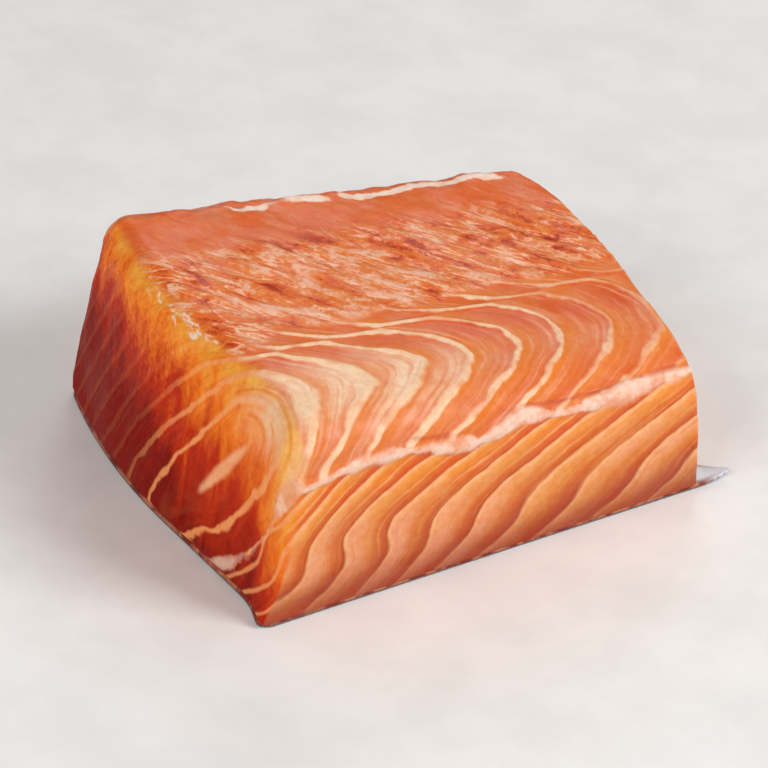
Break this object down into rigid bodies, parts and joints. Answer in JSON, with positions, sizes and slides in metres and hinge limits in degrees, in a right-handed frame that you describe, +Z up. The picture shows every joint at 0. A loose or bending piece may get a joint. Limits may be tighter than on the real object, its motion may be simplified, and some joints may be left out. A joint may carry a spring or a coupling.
{
  "type": "raw salmon fillet",
  "caption": "Thick block of raw salmon lying on its skin, cut straight at both ends, with a small tab of skin left sticking out at one front corner.",
  "frame": {"origin": "centre of the bounding box's base, on the surface that the fillet rests on", "axes": "+X along the fish from the thick cut end to the thin one, +Y across the fillet from its front face to its back face, +Z up from the skin to the top of the flesh"},
  "size_m": [0.0878, 0.0694, 0.0339],
  "materials": {
    "flesh": "moist raw flesh, orange with pale fat lines, glossy",
    "skin": "wet silver fish skin with fine scales, darker towards the back of the fish"
  },
  "bodies": {
    "root": {"flesh": "flesh", "skin": "skin"}
  },
  "joints": []
}
